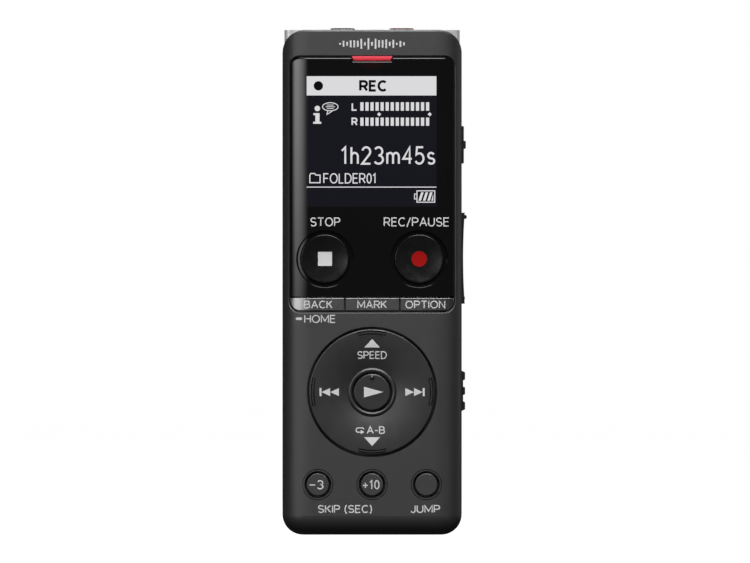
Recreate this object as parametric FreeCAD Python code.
import FreeCAD, Part
import functools
import math
import os

# A slim pocket field recorder. Millimetres, +Z up, upright as it is held.
# The origin is under the middle of the bottom edge, the display faces -Y and +X is to its right.
V = FreeCAD.Vector
X_AXIS = V(1, 0, 0)
Y_AXIS = V(0, 1, 0)
Z_AXIS = V(0, 0, 1)

# Case
WIDTH = 36.4
HEIGHT = 102.5
DEPTH = 12.2
FRONT = -DEPTH / 2
REAR = DEPTH / 2
HALF = WIDTH / 2
WALL = 1.2
FRONT_WALL = 1.5
FRONT_INNER = FRONT + FRONT_WALL
REAR_INNER = REAR - WALL
PARTING_Y = -1.6
PARTING_GROOVE = 0.15
BOTTOM_CORNER_R = 4.15
TOP_CORNER_R = 4.7
CROWN_X = 12.2
CROWN_R = 10.0
SHOULDER_R = 3.95
REAR_ROUND_R = 2.4
TOP_EDGE_R = 0.45

# Display window and the pocket that it lies in
WINDOW_HALF = 16.65
WINDOW_BOTTOM = 48.4
WINDOW_TOP = 96.9
WINDOW_CORNER_R = 2.0
WINDOW_SINK = 0.04
WINDOW_THICK = 0.85
WINDOW_EDGE_R = 0.4
POCKET_DEPTH = 0.95
POCKET_GAP = 0.12
POCKET_BOTTOM = 45.2
POCKET_BEVEL = 0.27
VIEW_HALF = 13.7
VIEW_BOTTOM = 66.0
VIEW_TOP = 93.6
OLED_HALF = 14.4
OLED_Z = (64.4, 95.4)
LENS_TOP_HALF = 4.1
LENS_BOTTOM_HALF = 3.7
LENS_BOTTOM = 96.25
LENS_TOP = 97.1

# Depths of the stack behind the front wall
FLANGE_FRONT = -4.3
FLANGE_REAR = -3.85
PLUNGER_TIP = -3.3
MEMBRANE_FRONT = -2.9
DOME_FRONT = -2.5
BOARD_FRONT = -2.2
BOARD_REAR = -1.4
BOARD_HALF = 16.4
BOARD_BOTTOM = 3.0
BOARD_TOP = 92.0

# Round buttons in the window: place, size
TALL_BUTTON_X = 9.55
TALL_BUTTON_Z = 56.0
TALL_BUTTON_R = 4.95
TALL_HOLE_R = 5.1
TALL_STEP_R = 5.75
TALL_STEP_DEPTH = 0.6
TALL_STEP_LIP = 0.12
TALL_FLANGE_R = 5.35

# Row of three keys under the window
KEY_BOTTOM = 45.55
KEY_TOP = 48.05
KEY_SPANS = (("back_button", -16.6, -5.65), ("mark_button", -5.4, 5.5), ("option_button", 5.75, 16.6))
KEY_CORNER_R = 2.1
KEY_SINK = 0.02
KEY_BEVEL = 0.09
KEY_MIDDLES = [(x0 + x1) / 2 for name, x0, x1 in KEY_SPANS]
KEY_THICK = 0.65
KEY_POCKET_DEPTH = 1.1
KEY_STEM_Z = 46.85

# Rocking control ring with the play button in its middle
RING_Z = 29.0
RING_R = 12.75
RING_HOLE_R = 13.2
RING_BORE_R = 4.05
RING_FACE_Y = -5.88
RING_DISH_R = 4.95
RING_DISH_Y = -5.13
RIDGE_R = 12.08
RIDGE_WIDTH = 0.3
RIDGE_SPREAD = 12.5
RIDGE_TOP_Y = -6.05
MOAT_WIDTH = 0.74
MOAT_SPREAD = 13.6
MOAT_FLOOR_Y = -5.6
PLAY_R = 3.68
PLAY_FACE_Y = -5.85

# Row of three small round buttons
SMALL_BUTTON_X = 11.0
SMALL_BUTTON_Z = 10.25
SMALL_BUTTON_R = 2.28
SMALL_HOLE_R = 2.75
SMALL_GROOVE_R = 3.16
SMALL_GROOVE_WIDTH = 0.16
SMALL_GROOVE_DEPTH = 0.15

# Right-hand side controls
ROCKER_Z = 79.2
ROCKER_HALF = 3.8
ROCKER_Y = (-0.6, 2.6)
SLIDER_Z = 29.2
SLIDER_HALF = 4.1
SLIDER_TRAVEL = 1.3
SLIDER_Y = (-0.7, 2.5)
DOOR_BOTTOM = 46.9
DOOR_TOP = 65.4
DOOR_Y = (-1.0, 2.8)
DOOR_PIN_X = 17.75
DOOR_PIN_Z = 48.0
DOOR_KNUCKLE_R = 1.1
DOOR_SWEEP_R = 1.6
SLOT_Z = (49.2, 60.4)

# Microphone caps at the two top corners
CAP_INNER_X = 10.6
CAP_OUTER_X = 17.8
CAP_Y = (-1.6, 3.4)
CAP_BOTTOM = 92.1
CAP_WALL = 0.6
CAP_EDGE_R = 1.1
CAP_GAP = 0.08
MESH_THICK = 0.2

# Jacks
JACK_X = 6.0
JACK_Y = 1.1
JACK_BORE_R = 1.8
JACK_COLLAR_R = 2.5
JACK_BOTTOM = 88.0
JACK_TOP = HEIGHT - WALL
COLLAR_TOP = HEIGHT + 0.4
JACK_BORE_BOTTOM = 88.8

# Slide-out USB plug
PLUG_HALF = 6.0
PLUG_Y = (0.0, 4.5)
PLUG_BOTTOM = 0.4
PLUG_TOP = 20.0
PLUG_WALL = 0.3
PLUG_TRAVEL = 13.0
CARRIAGE_TOP = 29.5
LEVER_Z = (21.0, 28.2)
LEVER_Y = (5.45, 5.95)
SCOOP_FLOOR_Y = 5.35

# Fasteners
SCREW_SPOTS = ((-14.2, 4.4), (14.2, 4.4), (-14.6, 40.8), (14.6, 40.8))
SCREW_R = 0.7
SCREW_HOLE_R = 0.74
SCREW_HEAD_R = 1.25

# Speaker
SPEAKER_X = 7.5
SPEAKER_Z = 77.0
SPEAKER_R = 6.5


def box(x0, x1, y0, y1, z0, z1):
    return Part.makeBox(x1 - x0, y1 - y0, z1 - z0, V(x0, y0, z0))


def disc(x, z, radius, y0, y1):
    """A round bar along Y."""
    return Part.makeCylinder(radius, y1 - y0, V(x, y0, z), Y_AXIS)


def post(x, y, radius, z0, z1):
    """A round bar along Z."""
    return Part.makeCylinder(radius, z1 - z0, V(x, y, z0), Z_AXIS)


def crossbar(y, z, radius, x0, x1):
    """A round bar along X."""
    return Part.makeCylinder(radius, x1 - x0, V(x0, y, z), X_AXIS)


def cone(x, z, front_r, rear_r, y0, y1):
    """A cone along Y with one radius at y0 and another at y1."""
    return Part.makeCone(front_r, rear_r, y1 - y0, V(x, y0, z), Y_AXIS)


def joined(shapes):
    """Several overlapping shapes as one solid."""
    return shapes[0].multiFuse(shapes[1:]).removeSplitter()


def group(shapes):
    """Several separate solids in one node."""
    return Part.makeCompound(shapes)


def mirrored(shape):
    """The same shape on the other side of the middle plane."""
    return shape.mirror(V(0, 0, 0), X_AXIS)


def edges_along(shape, direction):
    """The straight edges that run along a direction."""
    found = []
    for edge in shape.Edges:
        straight = isinstance(edge.Curve, Part.Line)
        if straight and abs(edge.tangentAt(edge.FirstParameter).dot(direction)) > 0.999:
            found.append(edge)
    return found


def edges_at_y(shape, y):
    """The edges that lie in one plane across Y."""
    found = []
    for edge in shape.Edges:
        bounds = edge.BoundBox
        if abs(bounds.YMin - y) < 0.001 and abs(bounds.YMax - y) < 0.001:
            found.append(edge)
    return found


def panel(x0, x1, z0, z1, y0, y1, top_r, bottom_r):
    """A plate that looks from the front like a rectangle with rounded corners."""
    plate = box(x0, x1, y0, y1, z0, z1)
    middle = (z0 + z1) / 2
    for radius, upper in ((top_r, True), (bottom_r, False)):
        if radius > 0:
            corners = [e for e in edges_along(plate, Y_AXIS) if (e.CenterOfMass.z > middle) == upper]
            plate = plate.makeFillet(radius, corners)
    return plate


def crown_prism(side, front_inset):
    """A bar along Z whose front is flat in the middle and curves back towards both sides."""
    front = FRONT + front_inset
    radius = CROWN_R - front_inset
    centre_y = FRONT + CROWN_R

    def on_curve(x):
        return centre_y - math.sqrt(radius ** 2 - (x - CROWN_X) ** 2)

    half_way = (CROWN_X + side) / 2
    right = [V(CROWN_X, front, -1), V(half_way, on_curve(half_way), -1), V(side, on_curve(side), -1)]
    left = [V(-p.x, p.y, p.z) for p in right]
    rear = [V(side, REAR + 1, -1), V(-side, REAR + 1, -1)]
    edges = [
        Part.LineSegment(left[0], right[0]).toShape(),
        Part.Arc(*right).toShape(),
        Part.LineSegment(right[2], rear[0]).toShape(),
        Part.LineSegment(rear[0], rear[1]).toShape(),
        Part.LineSegment(rear[1], left[2]).toShape(),
        Part.Arc(*left[::-1]).toShape(),
    ]
    return Part.Face(Part.Wire(edges)).extrude(V(0, 0, HEIGHT + 3))


@functools.lru_cache(maxsize=None)
def case_form(inset, front_inset=None):
    """The outer form of the case, or the same form moved inwards by a wall."""
    front_inset = inset if front_inset is None else front_inset
    rear = REAR - inset
    side = HALF - inset
    top = HEIGHT - inset
    form = panel(-side, side, inset, top + 1, FRONT, rear, 0, BOTTOM_CORNER_R - inset)
    form = form.common(crown_prism(side, front_inset))
    shoulder_y = FRONT + CROWN_R - math.sqrt((CROWN_R - front_inset) ** 2 - (side - CROWN_X) ** 2)
    shoulder = []
    for edge in form.Edges:
        bounds = edge.BoundBox
        seam = bounds.XLength < 0.001 and abs(bounds.XMin) < side - 0.1
        if bounds.YMax < shoulder_y + 0.01 and bounds.ZMin < top and not seam:
            shoulder.append(edge)
    form = form.makeFillet(SHOULDER_R - inset, shoulder)
    outline = panel(-side, side, inset - 1, top, FRONT - 1, REAR + 1, TOP_CORNER_R - inset, 0)
    form = form.common(outline)
    return form.makeFillet(REAR_ROUND_R - inset, edges_at_y(form, rear))


def rim_edges(shape, form):
    """The edges round those faces of a shape that lie on the skin of a form."""
    skin = form.Shells[0]
    edges = []
    for face in shape.Faces:
        u0, u1, v0, v1 = face.ParameterRange
        spot = Part.Vertex(face.valueAt((u0 + u1) / 2, (v0 + v1) / 2))
        if skin.distToShape(spot)[0] < 0.002:
            edges.extend(face.Edges)
    return [edge for edge in edges if sum(edge.isSame(other) for other in edges) == 1]


def case_skin(half, z0, z1, top_r, bottom_r, inset_out, inset_in):
    """The layer of the case between two insets, inside a rounded rectangle seen from the front."""
    plate = panel(-half, half, z0, z1, FRONT - 1, PARTING_Y - 0.3, top_r, bottom_r)
    layer = plate.common(case_form(inset_out)) if inset_out else plate
    return layer.cut(case_form(inset_in))


def lens_prism(grow, y0, y1):
    """The indicator's trapezoid, wider at the top, as a bar along Y."""
    corners = (
        (-LENS_TOP_HALF - grow, LENS_TOP + grow),
        (LENS_TOP_HALF + grow, LENS_TOP + grow),
        (LENS_BOTTOM_HALF + grow, LENS_BOTTOM - grow),
        (-LENS_BOTTOM_HALF - grow, LENS_BOTTOM - grow),
    )
    points = [V(x, y0, z) for x, z in corners]
    face = Part.Face(Part.makePolygon(points + points[:1]))
    return face.extrude(V(0, y1 - y0, 0))


def parting_groove():
    """The fine groove where the front and rear covers meet."""
    slab = box(-HALF - 1, HALF + 1, PARTING_Y - 0.12, PARTING_Y + 0.12, -1, HEIGHT + 1)
    return slab.cut(case_form(PARTING_GROOVE))


def softened_top(cover):
    """Rounds the cover's top front edge and its two corners."""
    outer = []
    for edge in cover.Edges:
        bounds = edge.BoundBox
        on_outline = bounds.ZMax > HEIGHT - TOP_CORNER_R and bounds.YMax < PARTING_Y - 0.2
        if on_outline and edge.Length > 0.5 and abs(edge.tangentAt(edge.FirstParameter).y) < 0.9:
            if bounds.ZMin > HEIGHT - TOP_CORNER_R - 0.01:
                outer.append(edge)
    return cover.makeFillet(TOP_EDGE_R, outer)


def front_shell():
    """The front cover before anything is cut through it."""
    outer = case_form(0).common(box(-HALF - 1, HALF + 1, FRONT - 1, PARTING_Y, -1, HEIGHT + 1))
    outer = softened_top(outer)
    return outer.cut(case_form(WALL, FRONT_WALL)).cut(parting_groove())


def pocket_rim(cover, half):
    """The outer edges of the window's pocket, which are bevelled."""
    rim = []
    for edge in rim_edges(cover, case_form(0)):
        bounds = edge.BoundBox
        reach = max(abs(bounds.XMin), abs(bounds.XMax))
        if reach < half + 0.05 and bounds.ZMin > POCKET_BOTTOM - 0.05 and bounds.ZMax < WINDOW_TOP + 0.5:
            rim.append(edge)
    return rim


def stepped_hole(x, z, hole_r, step_r, step_depth):
    """A hole through the front wall with a shallow wider step that follows the case's surface."""
    step = disc(x, z, step_r, FRONT - 1, FLANGE_FRONT).cut(case_form(step_depth))
    return joined([step, disc(x, z, hole_r, FRONT - 1, FLANGE_FRONT)])


def front_cover():
    cover = front_shell()
    gap = POCKET_GAP
    half = WINDOW_HALF + gap
    pocket = case_skin(half, POCKET_BOTTOM, WINDOW_TOP + gap, WINDOW_CORNER_R + gap, KEY_CORNER_R + gap,
                       0, POCKET_DEPTH)
    cover = cover.cut(pocket)
    cover = cover.makeChamfer(POCKET_BEVEL, pocket_rim(cover, half))

    cuts = [case_skin(half, POCKET_BOTTOM, WINDOW_BOTTOM - gap, 0, KEY_CORNER_R + gap, 0, KEY_POCKET_DEPTH)]
    cuts.append(panel(-VIEW_HALF, VIEW_HALF, VIEW_BOTTOM, VIEW_TOP, FRONT - 1, FLANGE_FRONT, 0.6, 0.6))
    seat = OLED_HALF + 0.1
    cuts.append(box(-seat, seat, FRONT_INNER, BOARD_FRONT, OLED_Z[0] - 0.1, OLED_Z[1] + 0.1))
    for side in (-1, 1):
        x = side * TALL_BUTTON_X
        cuts.append(disc(x, TALL_BUTTON_Z, TALL_HOLE_R, FRONT - 1, FLANGE_FRONT))
        cuts.append(disc(x, TALL_BUTTON_Z, TALL_FLANGE_R + 0.15, FLANGE_FRONT - 0.05, BOARD_FRONT))
    for x in KEY_MIDDLES:
        cuts.append(box(x - 1.7, x + 1.7, FRONT, FLANGE_FRONT, KEY_STEM_Z - 0.9, KEY_STEM_Z + 0.9))
    cuts.append(stepped_hole(0, RING_Z, RING_HOLE_R, RING_HOLE_R + 0.08, 0.08))
    for step in (-1, 0, 1):
        x = step * SMALL_BUTTON_X
        groove = disc(x, SMALL_BUTTON_Z, SMALL_GROOVE_R, FRONT - 1, FRONT + SMALL_GROOVE_DEPTH)
        kept_rim = disc(x, SMALL_BUTTON_Z, SMALL_GROOVE_R - SMALL_GROOVE_WIDTH, FRONT - 2, FRONT + 1)
        cuts.append(groove.cut(kept_rim))
        cuts.append(disc(x, SMALL_BUTTON_Z, SMALL_HOLE_R, FRONT - 1, FLANGE_FRONT))
    cuts.append(lens_prism(0.08, FRONT - 1, FLANGE_FRONT))
    for cut in cuts:
        cover = cover.cut(cut)
    bosses = [disc(x, z, 1.6, FRONT_INNER - 0.3, BOARD_FRONT).common(case_form(0.3)) for x, z in SCREW_SPOTS]
    cover = joined([cover] + bosses)
    for x, z in SCREW_SPOTS:
        cover = cover.cut(disc(x, z, SCREW_HOLE_R, FRONT_INNER - 0.1, BOARD_FRONT + 0.1))
    return cover


def speaker_holes():
    """A round field of small holes in staggered rows."""
    holes = []
    pitch = 1.35
    row_pitch = pitch * math.sqrt(3) / 2
    for row in range(-3, 4):
        shift = pitch / 2 if row % 2 else 0
        for column in range(-4, 5):
            dx = column * pitch + shift
            dz = row * row_pitch
            if math.hypot(dx, dz) < 4.5:
                holes.append(disc(SPEAKER_X + dx, SPEAKER_Z + dz, 0.42, REAR_INNER - 0.5, REAR + 0.5))
    return group(holes)


def rear_cover():
    outer = case_form(0).common(box(-HALF - 1, HALF + 1, PARTING_Y, REAR + 1, -1, HEIGHT + 1))
    cover = outer.cut(case_form(WALL)).cut(parting_groove())
    posts = [disc(x, z, 1.8, BOARD_REAR, REAR_INNER + 0.3) for x, z in SCREW_SPOTS]
    cover = joined([cover] + posts)
    for x, z in SCREW_SPOTS:
        cover = cover.cut(disc(x, z, SCREW_HOLE_R, BOARD_REAR - 0.1, REAR + 0.1))
        cover = cover.cut(disc(x, z, SCREW_HEAD_R + 0.15, REAR - 0.8, REAR + 0.1))

    out = HALF + 1
    gap = CAP_GAP
    cap_room = box(CAP_INNER_X - gap, out, CAP_Y[0] - 1, CAP_Y[1] + gap, CAP_BOTTOM - gap, HEIGHT + 1)
    cuts = [cap_room, mirrored(cap_room), speaker_holes()]
    for side in (-1, 1):
        cuts.append(post(side * JACK_X, JACK_Y, JACK_COLLAR_R + 0.05, JACK_TOP - 0.5, HEIGHT + 1))
    cuts.append(post(0, JACK_Y, 0.45, JACK_TOP - 0.5, HEIGHT + 1))

    # Openings in the right-hand wall
    inner = HALF - WALL - 0.5
    z0 = ROCKER_Z - ROCKER_HALF
    z1 = ROCKER_Z + ROCKER_HALF
    cuts.append(box(inner, out, ROCKER_Y[0] - 0.2, ROCKER_Y[1] + 0.2, z0 - 0.2, z1 + 0.2))
    z0 = SLIDER_Z - SLIDER_HALF - SLIDER_TRAVEL
    z1 = SLIDER_Z + SLIDER_HALF + SLIDER_TRAVEL
    cuts.append(box(HALF - 0.95, out, SLIDER_Y[0] - 0.15, SLIDER_Y[1] + 0.15, z0 - 0.15, z1 + 0.15))
    cuts.append(box(inner, out, 0.0, 1.8, SLIDER_Z - 3.05, SLIDER_Z + 3.05))
    y0 = DOOR_Y[0] - 0.15
    y1 = DOOR_Y[1] + 0.15
    cuts.append(box(DOOR_PIN_X - 0.5, out, y0, y1, DOOR_BOTTOM - 0.2, DOOR_TOP + 0.2))
    cuts.append(box(inner - 0.2, out, y0, y1, DOOR_BOTTOM - 0.2, SLOT_Z[1] + 0.4))
    cuts.append(disc(DOOR_PIN_X, DOOR_PIN_Z, DOOR_SWEEP_R, y0, y1))
    cuts.append(disc(DOOR_PIN_X, DOOR_PIN_Z, 0.32, y0 - 0.4, y1 + 0.45))

    # Bottom mouth for the plug and the thumb scoop with its slot in the rear wall
    cuts.append(box(-PLUG_HALF - 0.15, PLUG_HALF + 0.15, PLUG_Y[0] - 0.15, PLUG_Y[1] + 0.15, -1, WALL + 0.5))
    low = LEVER_Z[0] - PLUG_TRAVEL
    scoop = panel(-4.6, 4.6, low - 0.8, LEVER_Z[1] + 0.8, SCOOP_FLOOR_Y, REAR + 0.5, 2.0, 2.0)
    cuts.append(scoop)
    cuts.append(box(-1.5, 1.5, REAR_INNER - 0.5, REAR, low + 1.8, LEVER_Z[1] - 0.4))
    for cut in cuts:
        cover = cover.cut(cut)
    return cover


def inner_frame():
    """A plastic frame inside the case that clamps the board along its edge."""
    y0 = BOARD_REAR
    y1 = -0.5
    edge = HALF - WALL - 0.1
    frame = panel(-edge, edge, 1.4, 91.5, y0, y1, 1.0, BOTTOM_CORNER_R - WALL - 0.1)
    frame = frame.cut(panel(-edge + 1.3, edge - 1.3, 2.7, 90.2, y0 - 1, y1 + 1, 0.5, 1.5))
    for z0, z1 in ((22.5, 36.0), (43.5, 67.5), (73.5, 85.0)):
        frame = frame.cut(box(10, HALF, y0 - 1, y1 + 1, z0, z1))
    frame = frame.cut(box(-9.8, 9.8, y0 - 1, y1 + 1, 87.6, 92))
    for x, z in SCREW_SPOTS:
        frame = frame.cut(disc(x, z, 1.85, y0 - 1, y1 + 1))
    largest = max(frame.Solids, key=lambda solid: solid.Volume)
    inside = -edge + 1.2
    low_bar = box(inside, 3.0, y0 + 0.1, y1, 67.9, 69.1)
    high_bar = box(inside, edge - 1.2, y0 + 0.1, y1, 86.2, 87.4)
    return joined([largest, low_bar, high_bar])


def display_window():
    """The gloss front: rounded at its top and sides, with a stepped round hole for each tall button."""
    window = case_skin(WINDOW_HALF, WINDOW_BOTTOM, WINDOW_TOP, WINDOW_CORNER_R, 0, WINDOW_SINK, WINDOW_THICK)
    window = window.cut(lens_prism(0.1, FRONT - 1, 0))
    skin = case_form(WINDOW_SINK)
    outer_rim = [e for e in rim_edges(window, skin) if e.BoundBox.ZMax > WINDOW_BOTTOM + 0.01]
    window = window.makeFillet(WINDOW_EDGE_R, outer_rim)
    for side in (-1, 1):
        x = side * TALL_BUTTON_X
        window = window.cut(stepped_hole(x, TALL_BUTTON_Z, TALL_HOLE_R, TALL_STEP_R, TALL_STEP_DEPTH))
    mouths = []
    for edge in rim_edges(window, skin):
        bounds = edge.BoundBox
        if bounds.ZMin > WINDOW_BOTTOM + 0.01 and bounds.ZMax < TALL_BUTTON_Z + TALL_STEP_R + 0.01:
            mouths.append(edge)
    return window.makeChamfer(TALL_STEP_LIP, mouths)


def window_tape():
    """The adhesive layer that holds the window in its pocket."""
    tape = case_skin(14.1, 49.2, 95.6, 0, 0, WINDOW_THICK, POCKET_DEPTH)
    tape = tape.cut(box(-VIEW_HALF, VIEW_HALF, FRONT, 0, VIEW_BOTTOM, VIEW_TOP))
    for side in (-1, 1):
        tape = tape.cut(disc(side * TALL_BUTTON_X, TALL_BUTTON_Z, TALL_HOLE_R + 0.4, FRONT, 0))
    return tape


def indicator_lens():
    return lens_prism(0, FRONT + 0.02, FRONT_INNER + 1.0)


def mic_cap():
    """The right-hand microphone cap: a bent metal corner with small holes."""
    y0, y1 = CAP_Y
    outer = box(CAP_INNER_X, CAP_OUTER_X, y0, y1, CAP_BOTTOM, HEIGHT)
    front_edge = [e for e in edges_along(outer, Z_AXIS) if e.CenterOfMass.x > 15 and e.CenterOfMass.y < 0]
    outer = outer.makeFillet(CAP_EDGE_R, front_edge)
    room = box(CAP_INNER_X - 1, CAP_OUTER_X - CAP_WALL, y0 + CAP_WALL, y1 - CAP_WALL, CAP_BOTTOM - 1,
               HEIGHT - CAP_WALL)
    cap = outer.cut(room)
    holes = []
    for y in (-0.3, 0.9, 2.1):
        for step in range(7):
            z = 93.6 + step * 1.15
            holes.append(crossbar(y, z, 0.32, CAP_OUTER_X - 2, CAP_OUTER_X + 1))
        for step in range(5):
            x = 11.7 + step * 1.15
            holes.append(post(x, y, 0.32, HEIGHT - 2, HEIGHT + 1))
    return cap.cut(group(holes))


def mic_mesh():
    """The dust mesh that lines the right-hand cap."""
    y0 = CAP_Y[0] + CAP_WALL
    y1 = CAP_Y[1] - CAP_WALL
    x1 = CAP_OUTER_X - CAP_WALL
    z1 = HEIGHT - CAP_WALL
    liner = box(CAP_INNER_X + 0.2, x1, y0, y1, CAP_BOTTOM + 0.2, z1)
    room = box(CAP_INNER_X - 1, x1 - MESH_THICK, y0 + MESH_THICK, y1 - MESH_THICK, CAP_BOTTOM - 1,
               z1 - MESH_THICK)
    return liner.cut(room)


def tilted_bar(radius, near, far):
    """A round bar that points out of the right-hand top corner at 45 degrees."""
    start = V(14.0, 0.9, 98.6)
    direction = V(math.sqrt(0.5), 0, math.sqrt(0.5))
    return Part.makeCylinder(radius, far - near, start + direction * near, direction)


def mic_capsule():
    return tilted_bar(1.3, -1.2, 1.3)


def mic_boot():
    sleeve = tilted_bar(1.65, -1.5, 0.9)
    return sleeve.cut(mic_capsule())


def jack_collar(x):
    collar = post(x, JACK_Y, JACK_COLLAR_R, JACK_TOP, COLLAR_TOP)
    collar = collar.makeChamfer(0.12, [e for e in collar.Edges if e.BoundBox.ZMin > COLLAR_TOP - 0.01])
    return collar.cut(post(x, JACK_Y, JACK_BORE_R, JACK_TOP - 1, COLLAR_TOP + 1))


def jack_body(x):
    body = box(x - 3.0, x + 3.0, BOARD_REAR, JACK_Y + 2.5, JACK_BOTTOM, JACK_TOP)
    return body.cut(post(x, JACK_Y, JACK_BORE_R, JACK_BORE_BOTTOM, JACK_TOP + 1))


def jack_contacts():
    lugs = []
    for side in (-1, 1):
        for z in (89.6, 94.4, 98.6):
            x0 = side * JACK_X + 3.0
            lugs.append(box(x0, x0 + 0.5, BOARD_REAR, BOARD_REAR + 0.6, z, z + 1.0))
    return group(lugs)


def round_button(x, z, radius, face_y, dish, flange_r):
    """A push button: a flat or dished cap, a flange that keeps it in and a plunger."""
    cap = disc(x, z, radius, face_y, FLANGE_FRONT + 0.1)
    cap = cap.makeFillet(0.18, edges_at_y(cap, face_y))
    if dish > 0:
        rim = radius - 0.35
        ball_r = (rim * rim + dish * dish) / (2 * dish)
        cap = cap.cut(Part.makeSphere(ball_r, V(x, face_y + dish - ball_r, z)))
    flange = disc(x, z, flange_r, FLANGE_FRONT, FLANGE_REAR)
    plunger = disc(x, z, 1.3, FLANGE_REAR - 0.1, PLUNGER_TIP)
    return joined([cap, flange, plunger])


def play_button():
    """The button inside the ring, held from behind so that the ring can rock round it."""
    cap = disc(0, RING_Z, PLAY_R, PLAY_FACE_Y, -3.5)
    cap = cap.makeFillet(0.2, edges_at_y(cap, PLAY_FACE_Y))
    flange = disc(0, RING_Z, PLAY_R + 1.15, -3.75, -3.45)
    plunger = disc(0, RING_Z, 1.3, -3.5, PLUNGER_TIP)
    dot = Part.makeSphere(0.42, V(0, PLAY_FACE_Y + 0.18, RING_Z + 2.95))
    return joined([cap, flange, plunger, dot])


def key(x0, x1):
    """One key of the row: a thin cap that follows the case's surface, on a stem."""
    plate = panel(x0, x1, KEY_BOTTOM, KEY_TOP, FRONT - 1, PARTING_Y - 0.3, 0, 0)
    end_corners = []
    for edge in edges_along(plate, Y_AXIS):
        if abs(edge.CenterOfMass.x) > WINDOW_HALF - 0.5 and edge.CenterOfMass.z < KEY_STEM_Z:
            end_corners.append(edge)
    if end_corners:
        plate = plate.makeFillet(KEY_CORNER_R, end_corners)
    skin = case_form(KEY_SINK)
    cap = plate.common(skin).cut(case_form(KEY_THICK))
    cap = cap.makeChamfer(KEY_BEVEL, rim_edges(cap, skin))
    middle = (x0 + x1) / 2
    stem = box(middle - 1.5, middle + 1.5, FRONT + 0.3, PLUNGER_TIP, KEY_STEM_Z - 0.7, KEY_STEM_Z + 0.7)
    flange = box(middle - 2.4, middle + 2.4, FLANGE_FRONT, FLANGE_REAR, KEY_STEM_Z - 1.0, KEY_STEM_Z + 1.0)
    return joined([cap, stem, flange])


def line(start, end):
    return Part.LineSegment(V(*start, 0), V(*end, 0)).toShape()


def arc(start, middle, end):
    return Part.Arc(V(*start, 0), V(*middle, 0), V(*end, 0)).toShape()


def control_ring():
    """The rocking ring: a dished face, a low bead round the middle and four finger ridges."""
    edge_r = RING_R - 0.22
    middle_r = (RING_DISH_R + edge_r) / 2
    middle_y = RING_FACE_Y + (RING_DISH_Y - RING_FACE_Y) / 4
    crest = (4.42, -5.52)
    bead_foot = (RING_DISH_R - 0.1, RING_DISH_Y - 0.22)
    bore_y = -5.3
    rear = -3.95
    flange_r = 13.55
    flange_y = -4.22
    profile = [
        arc((RING_DISH_R, RING_DISH_Y), (middle_r, middle_y), (edge_r, RING_FACE_Y)),
        arc((edge_r, RING_FACE_Y), (RING_R - 0.06, RING_FACE_Y + 0.07), (RING_R, RING_FACE_Y + 0.22)),
        line((RING_R, RING_FACE_Y + 0.22), (RING_R, flange_y)),
        line((RING_R, flange_y), (flange_r, flange_y)),
        line((flange_r, flange_y), (flange_r, rear)),
        line((flange_r, rear), (RING_BORE_R, rear)),
        line((RING_BORE_R, rear), (RING_BORE_R, bore_y)),
        arc((RING_BORE_R, bore_y), crest, bead_foot),
        line(bead_foot, (RING_DISH_R, RING_DISH_Y)),
    ]
    ring = Part.Face(Part.Wire(profile)).revolve(V(0, 0, 0), Y_AXIS, 360)
    ring.translate(V(0, 0, RING_Z))
    pieces = []
    for quarter in range(4):
        turn = 90 * quarter
        ring = ring.cut(finger_bar(turn, MOAT_WIDTH, MOAT_SPREAD, FRONT - 1, MOAT_FLOOR_Y))
        pieces.append(finger_bar(turn, RIDGE_WIDTH, RIDGE_SPREAD, RIDGE_TOP_Y, MOAT_FLOOR_Y + 0.1))
        x, z = ring_foot(turn)
        pieces.append(disc(x, z, 0.7, rear - 0.05, -3.2))
    return joined([ring] + pieces)


def ring_foot(degrees):
    """Where one of the ring's four feet presses on a dome."""
    angle = math.radians(degrees)
    return 12.3 * math.cos(angle), RING_Z + 12.3 * math.sin(angle)


def finger_bar(turn, width, spread, y0, y1):
    """A curved bar with square ends, centred on the circle of the ring's finger ridges."""
    def spot(reach, degrees):
        angle = math.radians(turn + degrees)
        return V(reach * math.cos(angle), y0, RING_Z + reach * math.sin(angle))

    outer = RIDGE_R + width / 2
    inner = RIDGE_R - width / 2
    edges = [
        Part.Arc(spot(outer, -spread), spot(outer, 0), spot(outer, spread)).toShape(),
        Part.makeLine(spot(outer, spread), spot(inner, spread)),
        Part.Arc(spot(inner, spread), spot(inner, 0), spot(inner, -spread)).toShape(),
        Part.makeLine(spot(inner, -spread), spot(outer, -spread)),
    ]
    return Part.Face(Part.Wire(edges)).extrude(V(0, y1 - y0, 0))


def ring_carrier():
    """The thin plate under the ring that lets it rock both ways."""
    return disc(0, RING_Z, 11.0, -3.6, -3.35).cut(disc(0, RING_Z, 5.2, -4, -3))


def volume_rocker():
    z0 = ROCKER_Z - ROCKER_HALF
    z1 = ROCKER_Z + ROCKER_HALF
    y0, y1 = ROCKER_Y
    face = HALF + 0.45
    tip = HALF + 0.85
    cap = box(16.3, face, y0, y1, z0, z1)
    cap = cap.makeFillet(0.2, [e for e in cap.Edges if e.BoundBox.XMin > face - 0.01])
    bump = box(HALF, tip, y0 + 0.4, y1 - 0.4, ROCKER_Z - 0.8, ROCKER_Z + 0.8)
    bump = bump.makeFillet(0.2, [e for e in bump.Edges if e.BoundBox.XMin > tip - 0.01])
    flange = box(16.1, 16.6, y0, y1, z0 - 0.5, z1 + 0.5)
    return joined([cap, bump, flange])


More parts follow.
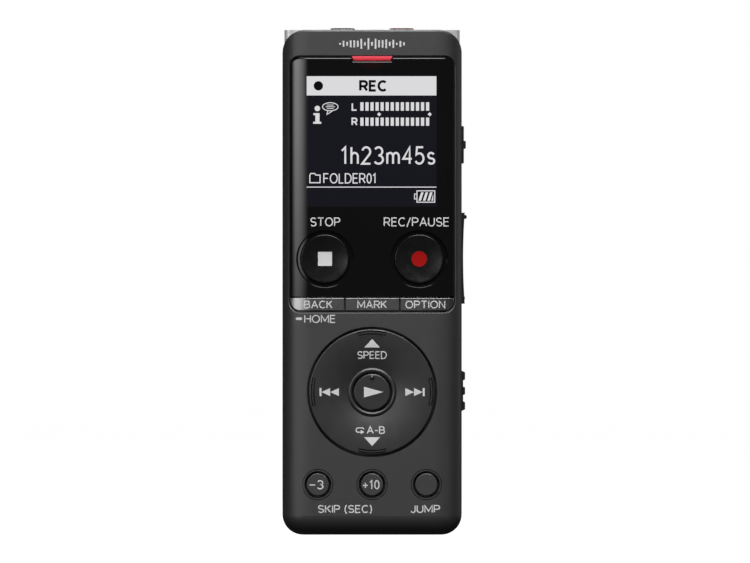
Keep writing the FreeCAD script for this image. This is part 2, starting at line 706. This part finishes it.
def hold_switch():
    """The slider: a thin base with three ribs, of which the outer two slope towards their ends."""
    y0, y1 = SLIDER_Y
    profile = [(0.0, -4.1), (0.7, -3.75), (0.7, -2.35), (0.3, -2.1), (0.3, -0.85), (0.7, -0.7)]
    profile += [(reach, -along) for reach, along in reversed(profile)]
    points = [V(HALF + reach, y0, SLIDER_Z + along) for reach, along in profile]
    points = [V(17.4, y0, points[0].z)] + points + [V(17.4, y0, points[-1].z)]
    ribbed = Part.Face(Part.makePolygon(points + points[:1])).extrude(V(0, y1 - y0, 0))
    peg = box(15.9, 17.6, 0.15, 1.65, SLIDER_Z - 1.6, SLIDER_Z + 1.6)
    return joined([ribbed, peg])


def card_door():
    """The door over the card slot: a hollowed plate on a knuckle at its lower end, with a nail nub."""
    y0, y1 = DOOR_Y
    knuckle = disc(DOOR_PIN_X, DOOR_PIN_Z, DOOR_KNUCKLE_R, y0, y1)
    plate = box(DOOR_PIN_X - 0.4, HALF + 0.65, y0, y1, DOOR_BOTTOM, DOOR_TOP)
    middle_z = (DOOR_BOTTOM + DOOR_TOP) / 2
    hollow_r = 135
    plate = plate.cut(disc(HALF + 0.3 + hollow_r, middle_z, hollow_r, y0 - 1, y1 + 1))
    nub = box(HALF, HALF + 1.05, y0 + 0.5, y1 - 0.5, 64.15, 64.95)
    nub = nub.makeFillet(0.35, [e for e in nub.Edges if e.BoundBox.XMin > HALF + 1.0])
    door = joined([knuckle, plate, nub])
    return door.cut(disc(DOOR_PIN_X, DOOR_PIN_Z, 0.36, y0 - 1, y1 + 1))


def card_door_pin():
    return disc(DOOR_PIN_X, DOOR_PIN_Z, 0.3, DOOR_Y[0] - 0.5, DOOR_Y[1] + 0.5)


def usb_lever():
    """The ribbed thumb piece in the scoop, with the neck that reaches the carriage."""
    z0, z1 = LEVER_Z
    y0, y1 = LEVER_Y
    pad = panel(-3.9, 3.9, z0, z1, y0, y1, 1.6, 1.6)
    grooves = []
    for step in range(5):
        z = z0 + 1.6 + step * 1.0
        grooves.append(box(-2.9, 2.9, y1 - 0.2, y1 + 0.5, z - 0.2, z + 0.2))
    pad = pad.cut(group(grooves))
    neck = box(-1.3, 1.3, PLUG_Y[1], y0 + 0.1, z0 + 2.1, z1 - 0.7)
    return joined([pad, neck])


def usb_carriage():
    carriage = box(-6.7, 6.7, PLUG_Y[0], PLUG_Y[1], PLUG_TOP, CARRIAGE_TOP)
    return carriage.cut(box(-5.0, 5.0, PLUG_Y[0] - 1, 1.2, PLUG_TOP + 2, CARRIAGE_TOP - 1.5))


def usb_plug_shell():
    y0, y1 = PLUG_Y
    tube = box(-PLUG_HALF, PLUG_HALF, y0, y1, PLUG_BOTTOM, PLUG_TOP)
    tube = tube.makeFillet(0.35, edges_along(tube, Z_AXIS))
    wall = PLUG_WALL
    inside = PLUG_HALF - wall
    tube = tube.cut(box(-inside, inside, y0 + wall, y1 - wall, PLUG_BOTTOM - 1, PLUG_TOP + 1))
    for side in (-1, 1):
        middle = side * 2.7
        tube = tube.cut(box(middle - 1.1, middle + 1.1, y0 - 1, y1 + 1, 5.6, 7.8))
    return tube


def usb_plug_core():
    return box(-5.6, 5.6, PLUG_Y[0] + PLUG_WALL, PLUG_Y[0] + 2.3, PLUG_BOTTOM + 0.4, PLUG_TOP)


def usb_plug_contacts():
    top = PLUG_Y[0] + 2.3
    strips = []
    for x in (-3.5, -1.0, 1.0, 3.5):
        strips.append(box(x - 0.5, x + 0.5, top, top + 0.12, PLUG_BOTTOM + 1.6, PLUG_BOTTOM + 9.5))
    return group(strips)


def dome_spots():
    spots = [(-TALL_BUTTON_X, TALL_BUTTON_Z), (TALL_BUTTON_X, TALL_BUTTON_Z), (0, RING_Z)]
    for x in KEY_MIDDLES:
        spots.append((x, KEY_STEM_Z))
    spots += [ring_foot(90 * quarter) for quarter in range(4)]
    for step in (-1, 0, 1):
        spots.append((step * SMALL_BUTTON_X, SMALL_BUTTON_Z))
    return spots


def keypad_membrane():
    sheet = panel(-16.0, 16.0, 5.8, 62.6, MEMBRANE_FRONT, DOME_FRONT, 1.0, 1.0)
    for x, z in SCREW_SPOTS:
        sheet = sheet.cut(disc(x, z, 1.8, MEMBRANE_FRONT - 1, DOME_FRONT + 1))
    return sheet


def dome_sheet():
    """The snap domes under the keys."""
    return group([disc(x, z, 1.6, DOME_FRONT, BOARD_FRONT) for x, z in dome_spots()])


def main_board():
    board = panel(-BOARD_HALF, BOARD_HALF, BOARD_BOTTOM, BOARD_TOP, BOARD_FRONT, BOARD_REAR, 0.8, 1.6)
    tongue = box(-9.7, 9.7, BOARD_FRONT, BOARD_REAR, BOARD_TOP - 1, 100.6)
    board = joined([board, tongue])
    for x, z in SCREW_SPOTS:
        board = board.cut(disc(x, z, SCREW_HOLE_R, BOARD_FRONT - 1, BOARD_REAR + 1))
    return board


def oled_module():
    return box(-OLED_HALF, OLED_HALF, FRONT_INNER + 0.05, -3.15, *OLED_Z)


def oled_flex():
    tab = box(-5, 5, -3.15, -3.0, 63.6, 72.0)
    drop = box(-5, 5, -3.15, BOARD_FRONT, 63.45, 63.6)
    return joined([tab, drop])


def board_chips():
    """Processor, memory, amplifier, clock and two regulators on the rear of the board."""
    chips = []
    for x, z, half_x, half_z, height in ((-7.0, 58.0, 4.5, 4.5, 0.8), (-6.0, 44.5, 3.5, 5.0, 0.8),
                                         (7.5, 40.0, 2.5, 2.5, 0.9), (1.5, 37.0, 1.6, 1.0, 0.6),
                                         (-8.5, 34.0, 1.5, 1.5, 0.9), (8.5, 69.2, 2.0, 1.5, 0.9)):
        chips.append(box(x - half_x, x + half_x, BOARD_REAR, BOARD_REAR + height, z - half_z, z + half_z))
    return group(chips)


def shield_can():
    can = box(-13.5, -1.5, BOARD_REAR, 0.4, 72.8, 84.8)
    return can.cut(box(-13.3, -1.7, BOARD_REAR - 1, 0.2, 73.0, 84.6))


def battery_cell():
    cell = box(-12.4, 3.4, 0.1, 4.5, 31.0, 66.6)
    return cell.makeFillet(0.8, edges_along(cell, Z_AXIS))


def battery_tape():
    return box(-10.5, 1.5, 4.5, REAR_INNER, 34.0, 64.0)


def battery_board():
    return box(-10.5, 1.5, 1.2, 3.4, 66.6, 67.7)


def speaker_driver():
    frame = disc(SPEAKER_X, SPEAKER_Z, SPEAKER_R, 2.3, 4.3)
    magnet = disc(SPEAKER_X, SPEAKER_Z, 3.4, 1.2, 2.4)
    diaphragm = cone(SPEAKER_X, SPEAKER_Z, 2.0, 5.2, 3.5, 4.31)
    return joined([frame, magnet]).cut(diaphragm)


def speaker_gasket():
    return disc(SPEAKER_X, SPEAKER_Z, SPEAKER_R, 4.3, 4.75).cut(disc(SPEAKER_X, SPEAKER_Z, 5.4, 4, 5))


def speaker_mesh():
    return disc(SPEAKER_X, SPEAKER_Z, 6.2, 4.75, REAR_INNER)


def card_socket():
    """The metal cage for a memory card, open towards the door."""
    z0, z1 = SLOT_Z
    cage = box(1.6, 16.3, BOARD_REAR, 0.05, z0 - 0.8, z1 + 0.8)
    return cage.cut(box(2.4, 17, BOARD_REAR + 0.3, -0.2, z0, z1))


def volume_switches():
    switches = []
    for z in (ROCKER_Z - 2.3, ROCKER_Z + 2.3):
        body = box(14.3, 15.4, BOARD_REAR, 1.6, z - 1.2, z + 1.2)
        nib = box(15.3, 15.8, -0.2, 0.9, z - 0.5, z + 0.5)
        switches.append(joined([body, nib]))
    return group(switches)


def hold_slide_switch():
    return box(12.6, 15.6, BOARD_REAR, 0.9, SLIDER_Z - 3.2, SLIDER_Z + 3.2)


def led_chip():
    return box(-0.8, 0.8, -3.0, BOARD_FRONT, 96.1, 97.1)


def case_screws():
    screws = []
    for x, z in SCREW_SPOTS:
        shank = disc(x, z, SCREW_R, -4.3, REAR - 0.7)
        head = disc(x, z, SCREW_HEAD_R, REAR - 0.8, REAR - 0.15)
        screw = joined([shank, head])
        for half_x, half_z in ((0.16, 0.75), (0.75, 0.16)):
            screw = screw.cut(box(x - half_x, x + half_x, REAR - 0.5, REAR, z - half_z, z + half_z))
        screws.append(screw)
    return group(screws)


def build():
    """Every piece of the recorder under its own name."""
    nodes = {
        "front_cover": front_cover(),
        "rear_cover": rear_cover(),
        "inner_frame": inner_frame(),
        "display_window": display_window(),
        "window_tape": window_tape(),
        "indicator_lens": indicator_lens(),
        "mic_cap_right": mic_cap(),
        "mic_mesh_right": mic_mesh(),
        "mic_capsule_right": mic_capsule(),
        "mic_boot_right": mic_boot(),
        "mic_capsule_center": post(0, JACK_Y, 1.5, 98.3, 100.6),
        "headphone_jack": jack_body(-JACK_X),
        "microphone_jack": jack_body(JACK_X),
        "headphone_collar": jack_collar(-JACK_X),
        "microphone_collar": jack_collar(JACK_X),
        "jack_contacts": jack_contacts(),
        "stop_button": round_button(-TALL_BUTTON_X, TALL_BUTTON_Z, TALL_BUTTON_R, -5.95, 0.4, TALL_FLANGE_R),
        "record_button": round_button(TALL_BUTTON_X, TALL_BUTTON_Z, TALL_BUTTON_R, -5.95, 0.4, TALL_FLANGE_R),
        "play_button": play_button(),
        "control_ring": control_ring(),
        "ring_carrier": ring_carrier(),
        "volume_rocker": volume_rocker(),
        "hold_switch": hold_switch(),
        "card_door": card_door(),
        "card_door_pin": card_door_pin(),
        "usb_lever": usb_lever(),
        "usb_carriage": usb_carriage(),
        "usb_plug_shell": usb_plug_shell(),
        "usb_plug_core": usb_plug_core(),
        "usb_plug_contacts": usb_plug_contacts(),
        "keypad_membrane": keypad_membrane(),
        "dome_sheet": dome_sheet(),
        "main_board": main_board(),
        "oled_module": oled_module(),
        "oled_flex": oled_flex(),
        "board_chips": board_chips(),
        "shield_can": shield_can(),
        "battery_cell": battery_cell(),
        "battery_tape": battery_tape(),
        "battery_board": battery_board(),
        "speaker_driver": speaker_driver(),
        "speaker_gasket": speaker_gasket(),
        "speaker_mesh": speaker_mesh(),
        "card_socket": card_socket(),
        "volume_switches": volume_switches(),
        "hold_slide_switch": hold_slide_switch(),
        "led_chip": led_chip(),
        "case_screws": case_screws(),
    }
    for name in ("mic_cap", "mic_mesh", "mic_capsule", "mic_boot"):
        nodes[name + "_left"] = mirrored(nodes[name + "_right"])
    for name, x0, x1 in KEY_SPANS:
        nodes[name] = key(x0, x1)
    for step, name in ((-1, "skip_back_button"), (0, "skip_forward_button"), (1, "jump_button")):
        nodes[name] = round_button(step * SMALL_BUTTON_X, SMALL_BUTTON_Z, SMALL_BUTTON_R, -6.0, 0, 3.1)
    return nodes


os.makedirs("parts", exist_ok=True)
for node, shape in build().items():
    count = len(shape.Solids)
    print(f"{node:22s} {'valid' if shape.isValid() else 'INVALID'} solids {count} volume {shape.Volume:9.2f}")
    shape.exportStep(f"parts/{node}.step")
